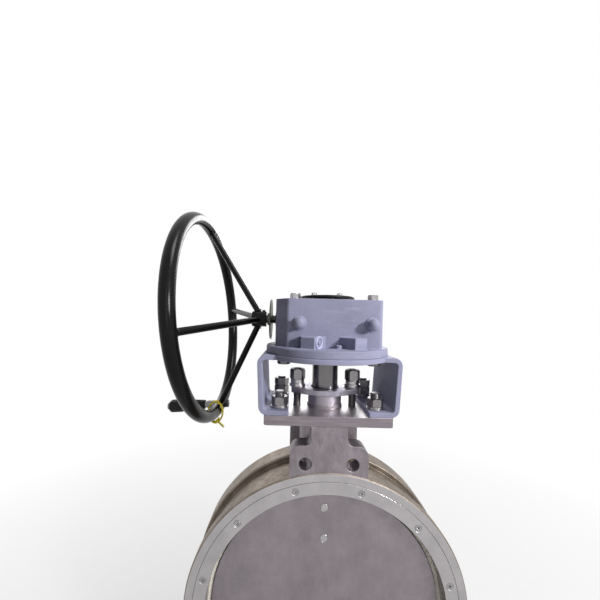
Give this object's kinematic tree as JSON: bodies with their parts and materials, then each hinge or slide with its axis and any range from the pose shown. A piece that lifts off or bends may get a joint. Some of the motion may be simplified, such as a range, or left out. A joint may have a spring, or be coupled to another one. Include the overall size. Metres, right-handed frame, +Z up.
{
  "type": "double eccentric butterfly valve with worm gear and handwheel",
  "caption": "Wafer butterfly valve with doubly offset stem, mounting yoke, worm gearbox, dished handwheel and revolving handle; the wheel turns the disc through a quarter turn.",
  "frame": {"origin": "centre of the bore in the plane of the rear gasket face", "axes": "+Y out of the rear gasket face along the pipe, +Z up along the stem towards the gearbox, +X to the right seen from the front, so the handwheel is at -X"},
  "size_m": [0.697, 0.4964, 1.2207],
  "materials": {
    "stainless_casting": "blasted and hand-ground stainless casting, satin",
    "machined_steel": "turned stainless steel, fine tool marks",
    "polished_steel": "ground and polished stainless shaft",
    "bolt_steel": "bright stainless fasteners, slightly handled",
    "dark_steel": "blackened steel with oil film",
    "grey_paint": "lavender-grey enamel over cast iron and steel plate, satin",
    "black_paint": "gloss black enamel on steel tube and rod",
    "black_plastic": "moulded black plastic, low gloss",
    "seat_material": "reinforced fluoropolymer seat, off-white",
    "yellow_plastic": "soft yellow cable tie"
  },
  "bodies": {
    "valve": {"body_ring": "stainless_casting", "neck": "stainless_casting", "lower_lugs": "stainless_casting", "seat_ring": "seat_material", "seat_retainer": "machined_steel", "retainer_screws": "bolt_steel", "bottom_cover": "stainless_casting", "bottom_cover_bolts": "bolt_steel", "gland_follower": "machined_steel", "gland_flange": "stainless_casting", "gland_studs": "bolt_steel", "gland_washers": "bolt_steel", "gland_nuts": "bolt_steel", "yoke": "grey_paint", "foot_studs": "bolt_steel", "foot_washers": "bolt_steel", "foot_nuts": "bolt_steel", "gearbox_bolts": "bolt_steel", "gearbox_housing": "grey_paint", "gearbox_cover": "grey_paint", "cover_bolts": "bolt_steel", "stop_bolt_caps": "grey_paint", "shaft_seal": "black_plastic"},
    "disc_and_stem": {"disc": "stainless_casting", "disc_hubs": "stainless_casting", "disc_pins": "machined_steel", "stem": "polished_steel", "stem_key": "machined_steel", "indicator_cap": "black_plastic", "indicator_screws": "bolt_steel"},
    "handwheel": {"worm_shaft": "dark_steel", "locking_disc": "machined_steel", "handwheel_hub": "black_paint", "hub_set_screw": "dark_steel", "spoke_1": "black_paint", "spoke_2": "black_paint", "spoke_3": "black_paint", "spoke_4": "black_paint", "handwheel_rim": "black_paint", "handle_pin": "dark_steel", "handle_nut": "dark_steel", "cable_tie": "yellow_plastic"},
    "handle": {"revolving_handle": "black_plastic"}
  },
  "joints": [
    {"name": "disc_turn", "type": "hinge", "parent": "valve", "child": "disc_and_stem", "pos_m": [-0.004, -0.076, 0], "axis": [0, 0, 1], "range_deg": [0, 90]},
    {"name": "handwheel_turn", "type": "hinge", "parent": "valve", "child": "handwheel", "pos_m": [-0.18, -0.016, 0.59898], "axis": [-1, 0, 0], "range_deg": [0, 3420]},
    {"name": "handle_spin", "type": "hinge", "parent": "handwheel", "child": "handle", "pos_m": [-0.35497, 0.03447, 0.36386], "axis": [-0.9966, 0.0261, -0.0785], "continuous": true}
  ],
  "couplings": [
    {"joint": "handwheel_turn", "follows": "disc_turn", "ratio": 38}
  ]
}
